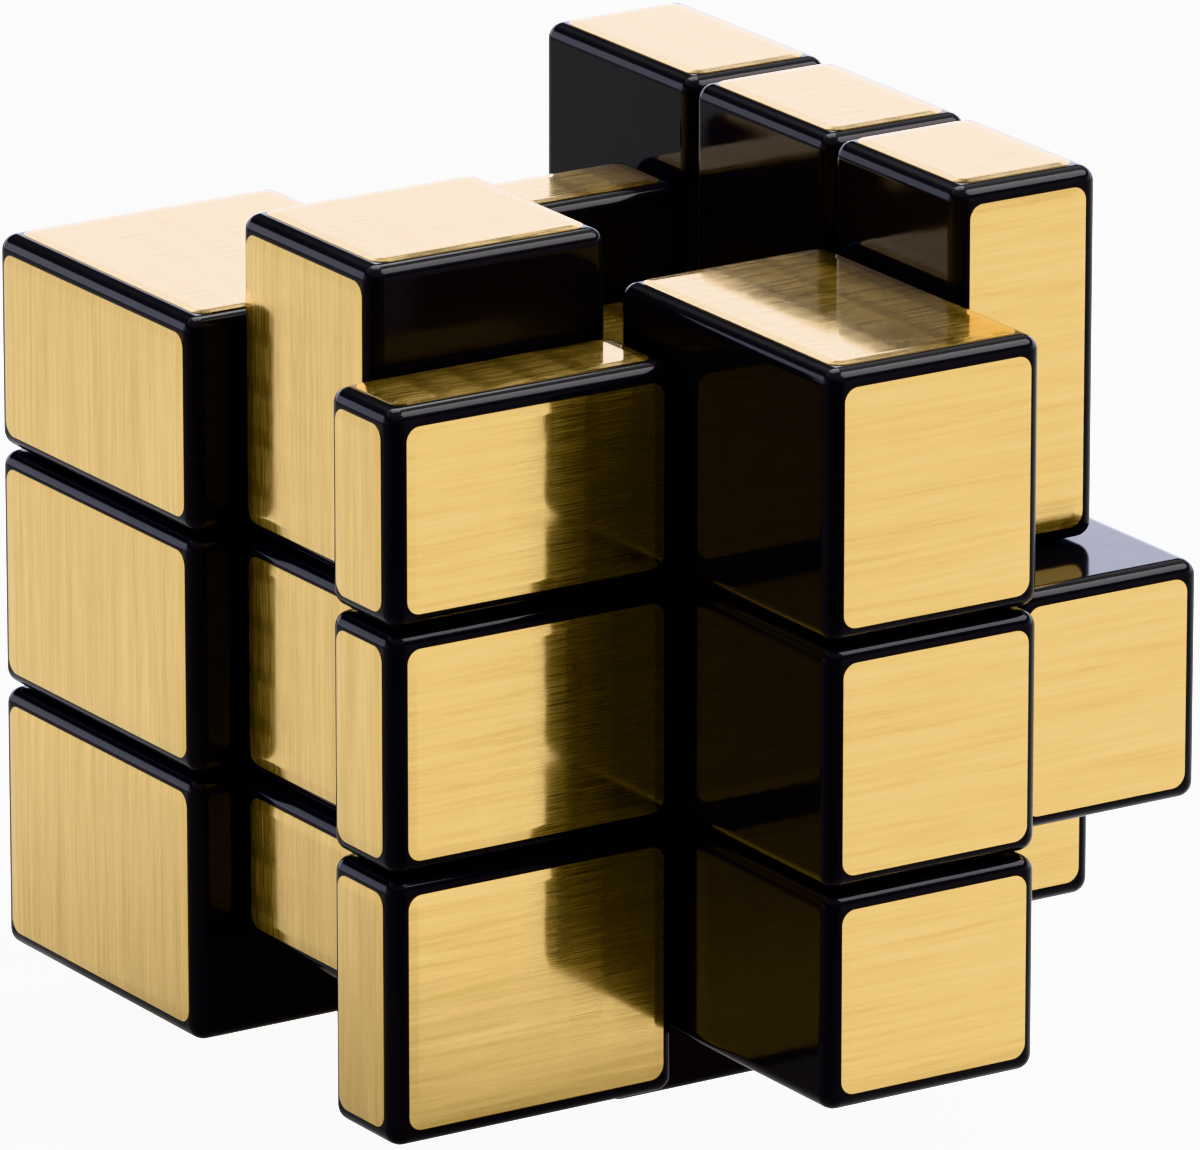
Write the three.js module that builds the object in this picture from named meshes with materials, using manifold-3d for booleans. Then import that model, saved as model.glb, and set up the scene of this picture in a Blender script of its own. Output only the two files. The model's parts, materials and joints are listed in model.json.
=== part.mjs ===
// Mirror block cube: a 3 x 3 x 3 twisty puzzle whose pieces differ in size instead of colour.
// All its layers turn about one pivot, but each outer layer has a depth of its own, so a scrambled
// puzzle is a pile of blocks with stepped sides. The puzzle stands on the face of its lowest centre.
// Millimetres, +Z up. The origin is the middle of the face it stands on, straight below the pivot.

import * as THREE from "three";
import { mergeVertices } from "three/addons/utils/BufferGeometryUtils.js";
import { RoundedBoxGeometry } from "three/addons/geometries/RoundedBoxGeometry.js";
import Module from "manifold-3d";

const wasm = await Module();
wasm.setup();

// ---- Driving dimensions ----
const CUT = 9.5; // from the pivot to each cut between layers: the middle layers are 19 thick
const DEPTH = { U: 13, D: 25, F: 29, B: 9, L: 21, R: 17 }; // outer layers of the solved 57 mm cube
const GAP = 0.3; // between neighbouring pieces
const BALL_GAP = 0.5; // between the feet and the blocks they turn inside
const EDGE_RADIUS = 1.0; // rounded edges of every block
const WALL = 1.6; // outer walls of the hollow blocks
const INNER_WALL = 1.8; // their walls on the cuts

// Below the blocks, the feet run in the ball-shaped space round the core.
const FOOT_CUT = 7.5; // cuts between the feet, nearer the pivot than the cuts between the blocks
const FOOT_OUTER = 19; // radius where feet end and blocks begin
const FOOT_INNER = 14.5; // radius of the inside of the feet
const EDGE_CAVITY_FLOOR = 20.9; // radius where the hollow of an edge block begins
const NECK_REACH = 17.5; // the solid neck between an edge's block and its foot ends here
const EDGE_BORE = { radius: 2, from: 12, to: 21.3 }; // moulding bore through an edge's neck
const STALK = 5.4; // square stalk of a corner's foot

const CENTRE_BASE = { half: 6.7, bottom: 7.65, top: 16.5, stemRadius: 4.8, stemBottom: 6.3 };
const WELL = { radius: 3.3, floor: 8.0 }; // round well in the base, for the screw head and spring
const CORE = { hubRadius: 5.0, armRadius: 3.6, armEnd: 6.0, holeRadius: 1.45, holeFloor: 2.2 };
const SCREW = {
  radius: 1.2, tipRadius: 0.6, tip: 2.6, tipTop: 3.6,
  headRadius: 2.7, headBottom: 13.9, headShoulder: 15.3, crownRadius: 1.6, headTop: 16.0,
};
const RECESS = { half: 1.5, width: 0.7, floor: 15.0 }; // cross recess in the screw head
const WASHER = { inner: 1.45, outer: 2.8, bottom: 13.2, top: 13.75 };
const SPRING = { radius: 2.2, wire: 0.3, bottom: 8.55, top: 12.95, turns: 4, stepsPerTurn: 8 };
const STEM_HOLE_RADIUS = 1.6; // through the base, round the screw

const ROUND_SIDES = 12;
const BALL_SIDES = 24;

// ---- The scrambled state ----
// Each place names the faces it touches, and says which side of its piece points to each of them.
const FACES = {
  U: [0, 0, 1],
  D: [0, 0, -1],
  F: [0, -1, 0],
  B: [0, 1, 0],
  L: [-1, 0, 0],
  R: [1, 0, 0],
};
const EDGES = {
  UF: "LF", UL: "DL", UR: "FU", UB: "LB",
  FL: "BD", FR: "DR", BL: "FD", BR: "UR",
  DF: "RF", DL: "UL", DR: "BU", DB: "RB",
};
const CORNERS = {
  UFL: "RBD", UFR: "FRU", UBL: "RFD", UBR: "FLU",
  DFL: "LBD", DFR: "BRU", DBL: "LFD", DBR: "BLU",
};

// ---- Materials ----
const glossBlack = new THREE.MeshStandardMaterial({ color: 0x0b0b0c, roughness: 0.14 });
const innerBlack = new THREE.MeshStandardMaterial({ color: 0x1a1a1c, roughness: 0.5 });
const steel = new THREE.MeshStandardMaterial({ color: 0xb9bcc0, roughness: 0.3, metalness: 1 });

// ---- Solids: closed meshes that can be joined and cut ----
function toSolid(geometry) {
  const bare = geometry.clone();
  bare.deleteAttribute("normal");
  bare.deleteAttribute("uv");
  const merged = mergeVertices(bare, 1e-4);
  return new wasm.Manifold(
    new wasm.Mesh({
      numProp: 3,
      vertProperties: merged.getAttribute("position").array,
      triVerts: new Uint32Array(merged.index.array),
    }),
  );
}

function toMesh(name, solid, material) {
  const { vertProperties, triVerts } = solid.getMesh();
  const geometry = new THREE.BufferGeometry();
  geometry.setAttribute("position", new THREE.BufferAttribute(vertProperties, 3));
  geometry.setIndex(new THREE.BufferAttribute(triVerts, 1));
  geometry.computeVertexNormals();
  const mesh = new THREE.Mesh(geometry, material);
  mesh.name = name;
  return mesh;
}

// A box that fills one [low, high] stretch of each axis, with rounded edges if a radius is given.
function boxOf(stretches, radius = 0) {
  const [x, y, z] = stretches.map(([low, high]) => high - low);
  const box = radius ? new RoundedBoxGeometry(x, y, z, 1, radius) : new THREE.BoxGeometry(x, y, z);
  box.translate(...stretches.map(([low, high]) => (low + high) / 2));
  return toSolid(box);
}

function ball(radius, sides = BALL_SIDES) {
  return toSolid(new THREE.SphereGeometry(radius, sides, sides / 2));
}

// The turn that takes +Z to a direction.
function facing(direction) {
  return new THREE.Quaternion().setFromUnitVectors(new THREE.Vector3(0, 0, 1), direction);
}

// A solid turned about an axis from [radius, height] points that start and end on it.
function turned(points, direction = new THREE.Vector3(0, 0, 1)) {
  const profile = points.map(([radius, height]) => new THREE.Vector2(radius, height));
  const lathe = new THREE.LatheGeometry(profile, ROUND_SIDES).rotateX(Math.PI / 2);
  return toSolid(lathe.applyQuaternion(facing(direction)));
}

function rod(radius, bottom, top, direction) {
  return turned([[0, bottom], [radius, bottom], [radius, top], [0, top]], direction);
}

// ---- Places ----
// Which side of the pivot a place is on along each axis: -1, 0 or 1.
function sidesOf(place) {
  return [0, 1, 2].map((axis) => [...place].reduce((sum, face) => sum + FACES[face][axis], 0));
}

// How far the piece in a place reaches from the pivot along each axis where it leaves the middle.
function reachOf(place, piece) {
  const reach = [0, 0, 0];
  [...place].forEach((face, i) => {
    const axis = FACES[face].findIndex((step) => step !== 0);
    reach[axis] = CUT + DEPTH[piece[i]];
  });
  return reach;
}

// The stretches from `near` to `far` on the sides a place is on, and within `half` across the middle.
function regionOf(sides, near, far, half) {
  return sides.map((side, axis) => {
    if (side === 0) return [-half, half];
    const reach = Array.isArray(far) ? far[axis] : far;
    return side > 0 ? [near, reach] : [-reach, -near];
  });
}

// ---- Pieces ----
const blockNear = CUT + GAP / 2;
const blockHalf = CUT - GAP / 2;
const footNear = FOOT_CUT + GAP / 2;
const footHalf = FOOT_CUT - GAP / 2;
const cavityNear = blockNear + INNER_WALL;

const feetSpace = ball(FOOT_OUTER + BALL_GAP / 2);
const feetOuter = ball(FOOT_OUTER - BALL_GAP / 2);
const feetInner = ball(FOOT_INNER);
const edgeCavityFloor = ball(EDGE_CAVITY_FLOOR);

function blockOf(sides, reach) {
  return boxOf(regionOf(sides, blockNear, reach, blockHalf), EDGE_RADIUS);
}

function cavityOf(sides, reach) {
  const inside = reach.map((far) => far - WALL);
  return boxOf(regionOf(sides, cavityNear, inside, blockHalf - INNER_WALL));
}

function footOf(sides) {
  return boxOf(regionOf(sides, footNear, FOOT_OUTER, footHalf)).intersect(feetOuter).subtract(feetInner);
}

// A hollow block joined to its foot by a neck, with a bore from the hollow to the inside.
function edgePiece(place, piece) {
  const sides = sidesOf(place);
  const reach = reachOf(place, piece);
  const neck = boxOf(regionOf(sides, blockNear, NECK_REACH, footHalf)).subtract(feetInner);
  const outward = new THREE.Vector3(...sides).normalize();
  return blockOf(sides, reach)
    .subtract(feetSpace)
    .add(neck)
    .add(footOf(sides))
    .subtract(cavityOf(sides, reach).subtract(edgeCavityFloor))
    .subtract(rod(EDGE_BORE.radius, EDGE_BORE.from, EDGE_BORE.to, outward));
}

// A hollow block with a square opening at its inner corner, where the stalk of its foot goes in.
function cornerShell(place, piece) {
  const sides = sidesOf(place);
  const reach = reachOf(place, piece);
  const opening = boxOf(regionOf(sides, blockNear - GAP, blockNear + STALK + 2 * GAP, 0));
  return blockOf(sides, reach).subtract(cavityOf(sides, reach)).subtract(opening);
}

function cornerFoot(place) {
  const sides = sidesOf(place);
  const stalk = boxOf(regionOf(sides, blockNear + GAP, blockNear + GAP + STALK, 0));
  return footOf(sides).add(stalk);
}

// Centre pieces, screws and springs are made standing on the pivot, along +Z.
function centreCap(depth) {
  const top = CUT + depth;
  const half = CENTRE_BASE.half + GAP;
  const hollow = [[-half, half], [-half, half], [0, top - WALL]];
  return boxOf([[-blockHalf, blockHalf], [-blockHalf, blockHalf], [blockNear, top]], EDGE_RADIUS)
    .subtract(feetSpace)
    .subtract(boxOf(hollow));
}

function centreBase() {
  const { half, bottom, top, stemRadius, stemBottom } = CENTRE_BASE;
  return boxOf([[-half, half], [-half, half], [bottom, top]])
    .add(rod(stemRadius, stemBottom, WELL.floor))
    .subtract(rod(WELL.radius, WELL.floor, top + GAP))
    .subtract(rod(STEM_HOLE_RADIUS, 0, top));
}

function screw() {
  const shank = [[0, SCREW.tip], [SCREW.tipRadius, SCREW.tip], [SCREW.radius, SCREW.tipTop]];
  const head = [
    [SCREW.radius, SCREW.headBottom], [SCREW.headRadius, SCREW.headBottom],
    [SCREW.headRadius, SCREW.headShoulder], [SCREW.crownRadius, SCREW.headTop], [0, SCREW.headTop],
  ];
  const depth = [RECESS.floor, SCREW.headTop + GAP];
  const long = [-RECESS.half, RECESS.half];
  const narrow = [-RECESS.width / 2, RECESS.width / 2];
  return turned([...shank, ...head])
    .subtract(boxOf([long, narrow, depth]))
    .subtract(boxOf([narrow, long, depth]));
}

function washer() {
  const { inner, outer, bottom, top } = WASHER;
  return rod(outer, bottom, top).subtract(rod(inner, bottom - GAP, top + GAP));
}

class Coil extends THREE.Curve {
  getPoint(t) {
    const { radius, wire, bottom, top, turns } = SPRING;
    const turn = 2 * Math.PI * turns * t;
    const height = THREE.MathUtils.lerp(bottom + wire, top - wire, t);
    return new THREE.Vector3(radius * Math.cos(turn), radius * Math.sin(turn), height);
  }
}

function spring() {
  const section = new THREE.Shape().absarc(0, 0, SPRING.wire, 0, 2 * Math.PI);
  return toSolid(new THREE.ExtrudeGeometry(section, {
    steps: SPRING.turns * SPRING.stepsPerTurn,
    curveSegments: 2,
    extrudePath: new Coil(),
  }));
}

// Six arms, each with a blind hole for a centre's screw.
function core() {
  const { hubRadius, armRadius, armEnd, holeRadius, holeFloor } = CORE;
  const directions = Object.values(FACES).map((step) => new THREE.Vector3(...step));
  const arms = directions.map((direction) => rod(armRadius, 0, armEnd, direction));
  const holes = directions.map((direction) => rod(holeRadius, holeFloor, armEnd + GAP, direction));
  const solid = arms.reduce((made, arm) => made.add(arm), ball(hubRadius, ROUND_SIDES));
  return holes.reduce((made, hole) => made.subtract(hole), solid);
}

// ---- Assembly ----
// The state is written for a pivot at the group's origin; the puzzle stands on its D centre.
const puzzle = new THREE.Group();
puzzle.position.z = CUT + DEPTH.D;
puzzle.add(toMesh("core", core(), innerBlack));

Object.entries(FACES).forEach(([face, step]) => {
  const centre = new THREE.Group();
  centre.quaternion.copy(facing(new THREE.Vector3(...step)));
  const place = face.toLowerCase();
  centre.add(
    toMesh("centre_cap_" + place, centreCap(DEPTH[face]), glossBlack),
    toMesh("centre_base_" + place, centreBase(), innerBlack),
    toMesh("screw_" + place, screw(), steel),
    toMesh("washer_" + place, washer(), steel),
    toMesh("spring_" + place, spring(), steel),
  );
  puzzle.add(centre);
});

Object.entries(EDGES).forEach(([place, piece]) => {
  puzzle.add(toMesh("edge_" + place.toLowerCase(), edgePiece(place, piece), glossBlack));
});

Object.entries(CORNERS).forEach(([place, piece]) => {
  const name = place.toLowerCase();
  puzzle.add(
    toMesh("corner_shell_" + name, cornerShell(place, piece), glossBlack),
    toMesh("corner_foot_" + name, cornerFoot(place), innerBlack),
  );
});

const object = new THREE.Group();
object.add(puzzle);
export default object;
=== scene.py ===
"""Mirror block cube, scrambled: glossy black blocks with brushed gold foil tiles on their outward faces."""

import json
import math
import random

import bmesh
import bpy
from mathutils import Matrix, Vector


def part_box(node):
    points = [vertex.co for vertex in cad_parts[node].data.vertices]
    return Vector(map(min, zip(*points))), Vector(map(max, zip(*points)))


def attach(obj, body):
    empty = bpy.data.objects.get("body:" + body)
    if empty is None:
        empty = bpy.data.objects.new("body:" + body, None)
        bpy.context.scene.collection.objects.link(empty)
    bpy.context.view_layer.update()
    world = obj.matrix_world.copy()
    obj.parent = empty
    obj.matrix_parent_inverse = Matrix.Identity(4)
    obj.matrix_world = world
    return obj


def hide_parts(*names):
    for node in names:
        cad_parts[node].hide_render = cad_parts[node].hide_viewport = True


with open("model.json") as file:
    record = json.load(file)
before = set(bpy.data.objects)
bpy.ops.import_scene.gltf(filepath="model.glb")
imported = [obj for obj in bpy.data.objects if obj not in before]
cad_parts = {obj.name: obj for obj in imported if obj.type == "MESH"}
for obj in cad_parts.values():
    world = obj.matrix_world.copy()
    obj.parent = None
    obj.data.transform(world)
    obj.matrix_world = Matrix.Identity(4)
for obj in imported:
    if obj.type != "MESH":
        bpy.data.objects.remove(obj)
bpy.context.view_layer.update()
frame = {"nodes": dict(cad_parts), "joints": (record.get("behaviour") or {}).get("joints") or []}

MM = 0.001
PIVOT = Vector(next(j["pos_m"] for j in frame["joints"] if j["name"] == "upper_turn"))

SMOOTH_BELOW = 35  # degrees between two faces, above which their edge stays sharp

# Shapes, in mm from the pivot
CUT = 9.5  # plane of each cut between layers
GAP = 0.3  # between neighbouring pieces
EDGE_RADIUS = 1.3
EDGE_STEPS = 6
WALL = 1.6  # outer walls of the hollow blocks
INNER_WALL = 1.8  # their walls on the cuts
FOOT_CUT = 7.5  # plane of each cut between the feet, which run below the blocks
FOOT_INNER, FOOT_OUTER = 14.5, 18.75  # radii of the inside and the outside of the feet
FEET_SPACE = 19.25  # radius of the space that the blocks leave for the feet
EDGE_CAVITY_FLOOR = 20.9  # radius where the hollow of an edge block begins
NECK_REACH = 17.5  # the solid neck between an edge's block and its foot ends here
BORE_RADIUS, BORE_START, BORE_END, BORE_SIDES = 2.0, 12.0, 21.3, 24  # through an edge's neck
STALK = 5.4  # width of the stalk that a corner's block sits on
CENTRE_HOLLOW = 7.0  # half the width of the hollow in a centre
BALL_SEGMENTS, BALL_RINGS = 72, 36

FOIL_MARGIN = 1.33  # from the foil's rim to the cuts and to the block's outer planes
FOIL_CORNER = 1.1
FOIL_SINK, FOIL_EDGE, FOIL_THICK = 0.03, 0.055, 0.14  # foot below the block's face, rim and middle above it
FOIL_SLOPE = 0.9  # width of the gentle slope along the rim
FOIL_SLOPE_STEPS = 5
FOIL_CORNER_STEPS = 8
FOIL_SMOOTH_BELOW = 60
MAP_MM = 10  # mm on the foil that one unit of its map stands for
MAP_SPREAD = 50  # each tile's map starts at a random place in a square this wide
SEED = 7

# Camera, from the pivot
CAMERA_AZIMUTH = math.radians(32.64)
CAMERA_ELEVATION = math.radians(17.44)
CAMERA_DISTANCE = 1.0451
CAMERA_RIGHT, CAMERA_UP = -0.00385, 0.00333
CAMERA_LENS, CAMERA_SENSOR = 414.6, 36

BEHIND = Vector((math.sin(CAMERA_AZIMUTH), math.cos(CAMERA_AZIMUTH), 0))  # where the camera looks, level
FLOOR_HALF = 4  # m from the middle of the floor to its sides
FLOOR_GLOW_LEFT, FLOOR_GLOW_RIGHT = (0.28, 0.37), 0.50  # painted light on the floor; the left one grows away from the object, painting shade close to it
FLOOR_WHITE = 1.6  # added where the camera sees the floor, so that it looks evenly white
BACKDROP = (2.75, 2.86, 3.50)
ROOM_SIDES, ROOM_BEHIND_CAMERA = (1.40, 1.40, 1.42), (0.30, 0.30, 0.31)
CEILING, UNDER_CEILING = (1.40, 1.40, 1.42), (0.06, 0.06, 0.065)
SIDES_START, BACKDROP_STARTS = (-0.85, -0.45), (-0.3, 0.5)  # how far a direction leans to behind the object
WALL_ENDS, CEILING_STARTS = (0.35, 0.43), (0.54, 0.66)  # how far a direction leans upwards
SOFTBOX_SIZE = 0.4
SOFTBOXES = {  # name: place and power in watts
    "key_softbox": ((0.45, -0.26, 0.70), 5),
    "overhead_softbox": ((0.10, 0.25, 0.62), 3),
}

FACES = {"u": (2, 1), "d": (2, -1), "f": (1, -1), "b": (1, 1), "l": (0, -1), "r": (0, 1)}
BRUSHED_ALONG = {"u": 0, "d": 0, "f": 0, "b": 0, "l": 2, "r": 2}  # axis that the brushing runs along


# ---- Mesh tools, all in mm about the pivot ----
def new_object(name, mesh):
    made = bpy.data.objects.new(name, mesh)
    bpy.context.scene.collection.objects.link(made)
    return made


def from_bmesh(name, bm):
    mesh = bpy.data.meshes.new(name)
    bm.to_mesh(mesh)
    bm.free()
    return new_object(name, mesh)


def box(stretches, name="tool"):
    bm = bmesh.new()
    bmesh.ops.create_cube(bm, size=1)
    for vertex in bm.verts:
        for axis, (low, high) in enumerate(stretches):
            vertex.co[axis] = low if vertex.co[axis] < 0 else high
    return from_bmesh(name, bm)


def rounded_box(stretches, name):
    made = box(stretches, name)
    bm = bmesh.new()
    bm.from_mesh(made.data)
    bmesh.ops.bevel(bm, geom=bm.edges[:], offset=EDGE_RADIUS, segments=EDGE_STEPS,
                    profile=0.5, affect="EDGES", clamp_overlap=False)
    bm.to_mesh(made.data)
    bm.free()
    return made


def ball(radius):
    bm = bmesh.new()
    bmesh.ops.create_uvsphere(bm, u_segments=BALL_SEGMENTS, v_segments=BALL_RINGS, radius=radius)
    return from_bmesh("tool", bm)


def rod(radius, start, end, direction):
    bm = bmesh.new()
    bmesh.ops.create_cone(bm, cap_ends=True, segments=BORE_SIDES,
                          radius1=radius, radius2=radius, depth=end - start)
    turn = Vector(direction).to_track_quat("Z", "Y").to_matrix().to_4x4()
    bm.transform(turn @ Matrix.Translation((0, 0, (start + end) / 2)))
    return from_bmesh("tool", bm)


def combine(made, tool, operation):
    modifier = made.modifiers.new("combine", "BOOLEAN")
    modifier.operation = operation
    modifier.solver = "EXACT"
    modifier.object = tool
    evaluated = made.evaluated_get(bpy.context.evaluated_depsgraph_get())
    mesh = bpy.data.meshes.new_from_object(evaluated)
    made.modifiers.clear()
    old, made.data = made.data, mesh
    bpy.data.meshes.remove(old)
    bpy.data.meshes.remove(tool.data)
    return made


def cut(made, tool):
    return combine(made, tool, "DIFFERENCE")


def join(made, tool):
    return combine(made, tool, "UNION")


def common(made, tool):
    return combine(made, tool, "INTERSECT")


def to_row_frame(made):
    made.data.transform(Matrix.Translation(PIVOT) @ Matrix.Scale(MM, 4))


def smooth(made, angle=SMOOTH_BELOW):
    for polygon in made.data.polygons:
        polygon.use_smooth = True
    made.data.set_sharp_from_angle(angle=math.radians(angle))
    modifier = made.modifiers.new("flat faces stay flat", "WEIGHTED_NORMAL")
    modifier.keep_sharp = True
    modifier.weight = 100


# ---- Places ----
def node_of(place):
    return {1: "centre_cap_", 2: "edge_", 3: "corner_shell_"}[len(place)] + place


def body_of(place):
    if len(place) == 1:
        return "centre_" + place
    return {"u": "upper_layer", "d": "lower_layer"}.get(place[0], "middle_layer")


def sides_of(place):
    sides = [0, 0, 0]
    for face in place:
        axis, side = FACES[face]
        sides[axis] = side
    return sides


def reach_of(place):
    """How far the block in a place reaches from the pivot along each axis, from the CAD box of its node."""
    low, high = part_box(node_of(place))
    return [max(abs(low[i] - PIVOT[i]), abs(high[i] - PIVOT[i])) / MM for i in range(3)]


def region(sides, near, far, half):
    """From near to far on the sides a place is on, and within half across the middle."""
    made = []
    for axis, side in enumerate(sides):
        reach = far[axis] if isinstance(far, list) else far
        if side == 0:
            made.append((-half, half))
        else:
            made.append((near, reach) if side > 0 else (-reach, -near))
    return made


PLACES = {
    "centres": list("udfblr"),
    "edges": ["uf", "ul", "ur", "ub", "fl", "fr", "bl", "br", "df", "dl", "dr", "db"],
    "corners": ["ufl", "ufr", "ubl", "ubr", "dfl", "dfr", "dbl", "dbr"],
}
BLOCK_NEAR, BLOCK_HALF = CUT + GAP / 2, CUT - GAP / 2
FOOT_NEAR, FOOT_HALF = FOOT_CUT + GAP / 2, FOOT_CUT - GAP / 2


# ---- Materials ----
class Nodes:
    """The nodes of a new material or world, and short ways to add to them."""

    def __init__(self, owner):
        owner.use_nodes = True
        self.owner = owner
        self.tree = owner.node_tree
        self.shader = self.tree.nodes.get("Principled BSDF") or self.tree.nodes["Background"]

    def add(self, kind, **settings):
        node = self.tree.nodes.new(kind)
        for key, value in settings.items():
            setattr(node, key, value)
        return node

    def link(self, output, target):
        self.tree.links.new(output, target)

    def mapped(self, source, scale, location=(0, 0, 0)):
        coordinates = self.add("ShaderNodeTexCoord")
        mapping = self.add("ShaderNodeMapping")
        mapping.inputs["Scale"].default_value = scale
        mapping.inputs["Location"].default_value = location
        self.link(coordinates.outputs[source], mapping.inputs["Vector"])
        return mapping.outputs["Vector"]

    def noise(self, vector, detail=2.0, roughness=0.5):
        node = self.add("ShaderNodeTexNoise")
        node.inputs["Scale"].default_value = 1
        node.inputs["Detail"].default_value = detail
        node.inputs["Roughness"].default_value = roughness
        self.link(vector, node.inputs["Vector"])
        return node.outputs["Fac"]

    def remap(self, value, from_low, from_high, to_low, to_high, curve="LINEAR"):
        node = self.add("ShaderNodeMapRange", interpolation_type=curve)
        for key, number in (("From Min", from_low), ("From Max", from_high),
                            ("To Min", to_low), ("To Max", to_high)):
            node.inputs[key].default_value = number
        self.link(value, node.inputs["Value"])
        return node.outputs["Result"]

    def math(self, operation, a, b):
        node = self.add("ShaderNodeMath", operation=operation)
        for socket, value in zip(node.inputs, (a, b)):
            if isinstance(value, (int, float)):
                socket.default_value = value
            else:
                self.link(value, socket)
        return node.outputs[0]

    def along(self, vector, direction):
        """How far a vector reaches along a direction."""
        node = self.add("ShaderNodeVectorMath", operation="DOT_PRODUCT")
        self.link(vector, node.inputs[0])
        node.inputs[1].default_value = direction
        return node.outputs["Value"]

    def mix(self, factor, a, b):
        node = self.add("ShaderNodeMix", data_type="RGBA")
        self.link(factor, node.inputs["Factor"])
        for key, value in (("A_Color", a), ("B_Color", b)):
            socket = next(i for i in node.inputs if i.identifier == key)
            if isinstance(value, tuple):
                socket.default_value = (*value, 1)
            else:
                self.link(value, socket)
        return next(o for o in node.outputs if o.identifier == "Result_Color")

    def bump(self, height, distance, normal=None):
        node = self.add("ShaderNodeBump")
        node.inputs["Distance"].default_value = distance
        self.link(height, node.inputs["Height"])
        if normal is not None:
            self.link(normal, node.inputs["Normal"])
        return node.outputs["Normal"]


def gloss_black():
    """Polished black ABS: a deep black with a sharp reflection, faint smudges and a slight orange peel."""
    n = Nodes(bpy.data.materials.new("gloss_black_plastic"))
    smudge = n.noise(n.mapped("Object", (90, 90, 90)), detail=3)
    n.link(n.mix(smudge, (0.0105, 0.0105, 0.0112), (0.0160, 0.0158, 0.0168)), n.shader.inputs["Base Color"])
    n.link(n.remap(smudge, 0.35, 0.7, 0.07, 0.12), n.shader.inputs["Roughness"])
    peel = n.noise(n.mapped("Object", (420, 420, 420)), detail=1)
    n.link(n.bump(peel, 0.000008), n.shader.inputs["Normal"])
    n.shader.inputs["IOR"].default_value = 1.35
    n.shader.inputs["Specular Tint"].default_value = (0.34, 0.31, 0.33, 1)
    return n.owner


def brushed_gold():
    """Gold metallised foil under clear film: a sharp reflection, and a soft one spread by fine furrows."""
    n = Nodes(bpy.data.materials.new("brushed_gold_foil"))
    lines = n.noise(n.mapped("UV", (26, 0.7, 1)), detail=3, roughness=0.6)
    bands = n.noise(n.mapped("UV", (7, 0.3, 1), (3, 7, 0)), detail=2)
    cloud = n.noise(n.mapped("UV", (1.3, 1.3, 1), (11, 5, 0)), detail=2)
    tone = n.math("ADD", n.math("MULTIPLY", lines, 0.65), n.math("MULTIPLY", bands, 0.35))
    gold = n.mix(n.remap(tone, 0.36, 0.64, 0, 1), (0.705, 0.475, 0.160), (0.895, 0.618, 0.230))
    n.link(gold, n.shader.inputs["Base Color"])
    polish = n.remap(cloud, 0.3, 0.7, 0.07, 0.10)
    hairlines = n.noise(n.mapped("UV", (1300, 2.5, 1), (5, 1, 0)), detail=0)
    furrows = n.math("ADD", n.math("MULTIPLY", hairlines, 0.9), n.math("MULTIPLY", lines, 0.1))
    n.link(n.math("ADD", polish, n.remap(furrows, 0.54, 0.58, 0, 0.20)), n.shader.inputs["Roughness"])
    wave = n.bump(n.noise(n.mapped("UV", (2.4, 2.4, 1), (2, 9, 0)), detail=1), 0.000013)
    n.link(n.bump(lines, 0.0000015, wave), n.shader.inputs["Normal"])
    tangent = n.add("ShaderNodeTangent", direction_type="UV_MAP", uv_map="brushing")
    n.link(tangent.outputs["Tangent"], n.shader.inputs["Tangent"])
    n.shader.inputs["Metallic"].default_value = 1
    n.shader.inputs["Anisotropic"].default_value = 0.8
    n.shader.inputs["Coat Weight"].default_value = 0.4
    n.shader.inputs["Coat Roughness"].default_value = 0.04
    return n.owner


def satin_black():
    """Moulded black ABS of the inner parts, with a fine grain."""
    n = Nodes(bpy.data.materials.new("satin_black_plastic"))
    cloud = n.noise(n.mapped("Object", (160, 160, 160)), detail=4)
    n.link(n.mix(cloud, (0.010, 0.010, 0.011), (0.022, 0.022, 0.024)), n.shader.inputs["Base Color"])
    n.link(n.remap(cloud, 0.3, 0.7, 0.38, 0.52), n.shader.inputs["Roughness"])
    grain = n.noise(n.mapped("Object", (3500, 3500, 3500)), detail=2)
    n.link(n.bump(grain, 0.000012), n.shader.inputs["Normal"])
    return n.owner


def plated_steel():
    """Zinc-plated steel, with the faint turning marks of small hardware."""
    n = Nodes(bpy.data.materials.new("plated_steel"))
    cloud = n.noise(n.mapped("Object", (700, 700, 700)), detail=4)
    n.link(n.mix(cloud, (0.50, 0.51, 0.53), (0.70, 0.71, 0.73)), n.shader.inputs["Base Color"])
    n.link(n.remap(cloud, 0.3, 0.7, 0.24, 0.38), n.shader.inputs["Roughness"])
    marks = n.noise(n.mapped("Object", (6000, 6000, 1200)), detail=2)
    n.link(n.bump(marks, 0.000004), n.shader.inputs["Normal"])
    n.shader.inputs["Metallic"].default_value = 1
    return n.owner


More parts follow.
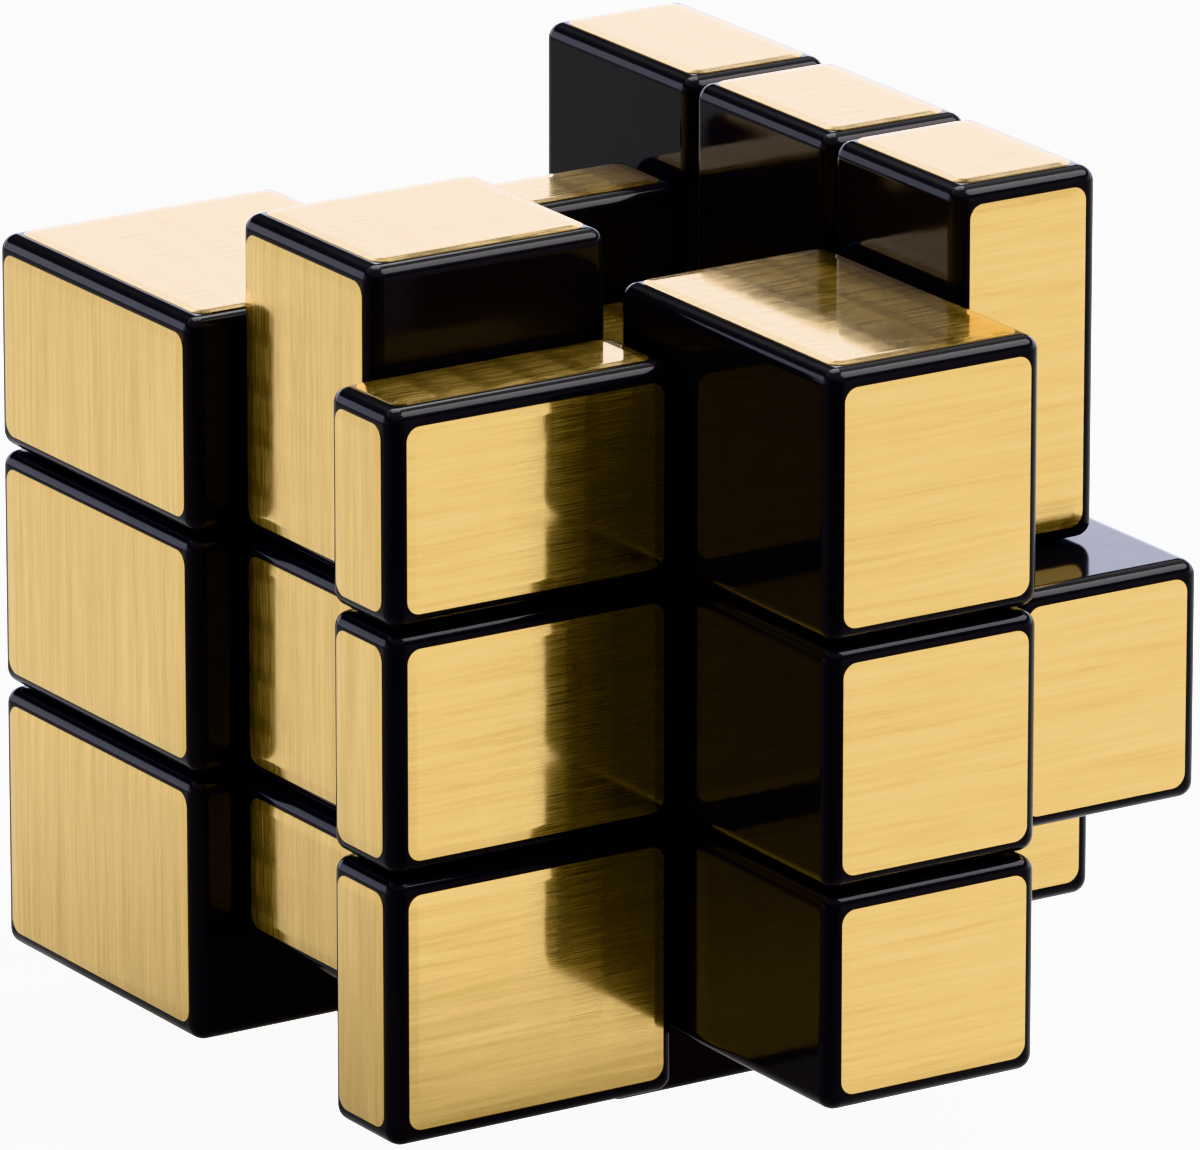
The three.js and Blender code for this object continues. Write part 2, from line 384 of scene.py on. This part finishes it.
def white_floor():
    """A white paper sweep whose glow is painted light: brighter to the right of the object, with painted
    shade in front of it and close to it on the left.
    """
    n = Nodes(bpy.data.materials.new("white_floor"))
    place = n.mapped("Object", (1, 1, 1))
    right, ahead = n.along(place, (BEHIND.y, -BEHIND.x, 0)), n.along(place, -BEHIND)
    # Painted shade in front of the object: there lit falls to 0, which darkens the paper and stops its glow.
    in_front = n.math("SUBTRACT", ahead, n.math("MULTIPLY", n.math("ABSOLUTE", right, 0), 0.8))
    lit = n.remap(in_front, 0.03, 0.09, 1, 0, "SMOOTHSTEP")
    away = n.add("ShaderNodeVectorMath", operation="LENGTH")
    n.link(place, away.inputs[0])
    # Painted shade close to the object on the left: the glow rises with distance from it.
    left_glow = n.remap(away.outputs["Value"], 0.05, 0.2, *FLOOR_GLOW_LEFT)
    to_right = n.remap(right, -0.02, 0.03, 0, 1, "SMOOTHSTEP")
    rise = n.math("SUBTRACT", FLOOR_GLOW_RIGHT, left_glow)
    glow = n.math("ADD", left_glow, n.math("MULTIPLY", to_right, rise))
    paper = n.noise(n.mapped("Object", (40, 40, 40)), detail=3)
    white = n.mix(paper, (0.29, 0.29, 0.29), (0.31, 0.31, 0.31))
    n.link(n.mix(lit, (0.12, 0.12, 0.12), white), n.shader.inputs["Base Color"])
    seen = n.math("MULTIPLY", n.add("ShaderNodeLightPath").outputs["Is Camera Ray"], FLOOR_WHITE)
    n.link(n.math("ADD", n.math("MULTIPLY", glow, lit), seen), n.shader.inputs["Emission Strength"])
    n.shader.inputs["Emission Color"].default_value = (1, 1, 1, 1)
    n.shader.inputs["Roughness"].default_value = 0.9
    n.shader.inputs["Specular IOR Level"].default_value = 0.0
    return n.owner


MATERIALS = {
    "block_plastic": gloss_black(),
    "inner_plastic": satin_black(),
    "steel": plated_steel(),
    "gold_foil": brushed_gold(),
}


def finish_piece(made, body, slot):
    made.data.materials.clear()
    made.data.materials.append(MATERIALS[slot])
    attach(made, body)


# ---- Blocks ----
def block_shape(place):
    """A place's block with finely rounded edges, before it is hollowed."""
    return rounded_box(region(sides_of(place), BLOCK_NEAR, reach_of(place), BLOCK_HALF), "block_" + place)


def foot_shape(sides):
    made = common(box(region(sides, FOOT_NEAR, FOOT_OUTER + 1, FOOT_HALF)), ball(FOOT_OUTER))
    return cut(made, ball(FOOT_INNER))


def edge_block(place):
    sides, reach = sides_of(place), reach_of(place)
    inside = [far - WALL for far in reach]
    cavity = box(region(sides, BLOCK_NEAR + INNER_WALL, inside, BLOCK_HALF - INNER_WALL))
    neck = cut(box(region(sides, BLOCK_NEAR, NECK_REACH, FOOT_HALF)), ball(FOOT_INNER))
    made = cut(block_shape(place), ball(FEET_SPACE))
    made = join(join(made, neck), foot_shape(sides))
    made = cut(made, cut(cavity, ball(EDGE_CAVITY_FLOOR)))
    return cut(made, rod(BORE_RADIUS, BORE_START, BORE_END, sides))


def corner_block(place):
    sides, reach = sides_of(place), reach_of(place)
    inside = [far - WALL for far in reach]
    made = cut(block_shape(place), box(region(sides, BLOCK_NEAR + INNER_WALL, inside, 0)))
    return cut(made, box(region(sides, BLOCK_NEAR - GAP, BLOCK_NEAR + STALK + 2 * GAP, 0)))


def centre_block(place):
    sides, reach = sides_of(place), reach_of(place)
    inside = [far - WALL for far in reach]
    made = cut(block_shape(place), ball(FEET_SPACE))
    return cut(made, box(region(sides, 0, inside, CENTRE_HOLLOW)))


for maker, group in ((centre_block, "centres"), (edge_block, "edges"), (corner_block, "corners")):
    for place in PLACES[group]:
        block = maker(place)
        to_row_frame(block)
        smooth(block)
        finish_piece(block, body_of(place), "block_plastic")
        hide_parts(node_of(place))


# ---- Foil tiles ----
def rounded_outline(low, high, radius, inset):
    """Points round a rounded rectangle, pulled in by inset."""
    turn = math.pi / 2
    points = []
    for quarter, (x, y) in enumerate(((1, 1), (0, 1), (0, 0), (1, 0))):
        centre = (high[0] - radius if x else low[0] + radius, high[1] - radius if y else low[1] + radius)
        for step in range(FOIL_CORNER_STEPS + 1):
            angle = turn * (quarter + step / FOIL_CORNER_STEPS)
            reach = radius - inset
            points.append((centre[0] + reach * math.cos(angle), centre[1] + reach * math.sin(angle)))
    return points


def foil_section():
    """Inset from the rim and height over the block's face, from the foot up to the flat middle."""
    yield 0, -FOIL_SINK
    for step in range(FOIL_SLOPE_STEPS + 1):
        part = step / FOIL_SLOPE_STEPS
        yield FOIL_SLOPE * part, FOIL_EDGE + (FOIL_THICK - FOIL_EDGE) * part


def foil_extent(side, reach):
    """Where a foil starts and ends along an axis, on a block at one side of the axis or across its middle."""
    if side == 0:
        return FOIL_MARGIN - CUT, CUT - FOIL_MARGIN
    near, far = CUT + FOIL_MARGIN, reach - FOIL_MARGIN
    return (near, far) if side > 0 else (-far, -near)


def map_brushing(bm, across, along, chance):
    """Map a foil with U across its brushing and V along it, from a random start."""
    brushing = bm.loops.layers.uv.new("brushing")
    start = (chance.uniform(0, MAP_SPREAD), chance.uniform(0, MAP_SPREAD))
    for bmface in bm.faces:
        for loop in bmface.loops:
            co = loop.vert.co
            loop[brushing].uv = (co[across] / MAP_MM + start[0], co[along] / MAP_MM + start[1])


def foil_tile(place, face, chance):
    """A thin foil plate with a sloping rim, on a block's outward face."""
    axis, side = FACES[face]
    across, along = [i for i in range(3) if i != axis]
    if BRUSHED_ALONG[face] == across:
        across, along = along, across
    sides, reach = sides_of(place), reach_of(place)
    low, high = zip(*(foil_extent(sides[i], reach[i]) for i in (across, along)))
    bm = bmesh.new()
    rings = []
    for inset, height in foil_section():
        ring = []
        for a, b in rounded_outline(low, high, FOIL_CORNER, inset):
            co = Vector((0, 0, 0))
            co[across], co[along], co[axis] = a, b, side * (reach[axis] + height)
            ring.append(bm.verts.new(co))
        rings.append(ring)
    count = len(rings[0])
    for lower, upper in zip(rings, rings[1:]):
        for i in range(count):
            bm.faces.new((lower[i], lower[(i + 1) % count], upper[(i + 1) % count], upper[i]))
    bm.faces.new(rings[0][::-1])
    bm.faces.new(rings[-1])
    bmesh.ops.recalc_face_normals(bm, faces=bm.faces[:])
    map_brushing(bm, across, along, chance)
    made = from_bmesh("foil_" + place + "_" + face, bm)
    to_row_frame(made)
    smooth(made, FOIL_SMOOTH_BELOW)
    return made


chance = random.Random(SEED)
for place in PLACES["centres"] + PLACES["edges"] + PLACES["corners"]:
    for face in place:
        finish_piece(foil_tile(place, face, chance), body_of(place), "gold_foil")


# ---- Inner parts keep their CAD shape ----
for name, node in frame["nodes"].items():
    if node.hide_render:
        continue
    slot = "steel" if name.startswith(("screw", "washer", "spring")) else "inner_plastic"
    node.data.materials.clear()
    node.data.materials.append(MATERIALS[slot])


# ---- Floor, light and camera ----
def make_floor():
    bm = bmesh.new()
    bmesh.ops.create_grid(bm, x_segments=1, y_segments=1, size=FLOOR_HALF)
    floor = from_bmesh("floor", bm)
    floor.data.materials.append(white_floor())


def make_softbox(name, place, power):
    data = bpy.data.lights.new(name, "AREA")
    data.shape = "SQUARE"
    data.size = SOFTBOX_SIZE
    data.energy = power
    lamp = bpy.data.objects.new(name, data)
    lamp.location = place
    lamp.rotation_euler = (PIVOT - lamp.location).to_track_quat("-Z", "Y").to_euler()
    bpy.context.scene.collection.objects.link(lamp)


def make_world():
    """A bright backdrop behind the object, a dim room behind the camera, and a ceiling above a dark gap."""
    n = Nodes(bpy.data.worlds.new("studio"))
    direction = n.mapped("Generated", (1, 1, 1))
    behind = n.along(direction, BEHIND)
    sides = n.mix(n.remap(behind, *SIDES_START, 0, 1, "SMOOTHSTEP"), ROOM_BEHIND_CAMERA, ROOM_SIDES)
    wall = n.mix(n.remap(behind, *BACKDROP_STARTS, 0, 1, "SMOOTHSTEP"), sides, BACKDROP)
    height = n.along(direction, (0, 0, 1))
    above_wall = n.mix(n.remap(height, *WALL_ENDS, 0, 1, "SMOOTHSTEP"), wall, UNDER_CEILING)
    overhead = n.remap(height, *CEILING_STARTS, 0, 1, "SMOOTHSTEP")
    n.link(n.mix(overhead, above_wall, CEILING), n.shader.inputs["Color"])
    bpy.context.scene.world = n.owner


def make_camera():
    direction = Vector((-math.sin(CAMERA_AZIMUTH) * math.cos(CAMERA_ELEVATION),
                        -math.cos(CAMERA_AZIMUTH) * math.cos(CAMERA_ELEVATION),
                        math.sin(CAMERA_ELEVATION)))
    turn = direction.to_track_quat("Z", "Y")
    data = bpy.data.cameras.new("camera")
    data.lens = CAMERA_LENS
    data.sensor_width = CAMERA_SENSOR
    camera = bpy.data.objects.new("camera", data)
    camera.location = PIVOT + turn @ Vector((CAMERA_RIGHT, CAMERA_UP, CAMERA_DISTANCE))
    camera.rotation_euler = turn.to_euler()
    bpy.context.scene.collection.objects.link(camera)
    bpy.context.scene.camera = camera


make_floor()
make_world()
for name, (place, power) in SOFTBOXES.items():
    make_softbox(name, place, power)
make_camera()
bpy.context.scene.view_settings.view_transform = "Khronos PBR Neutral"
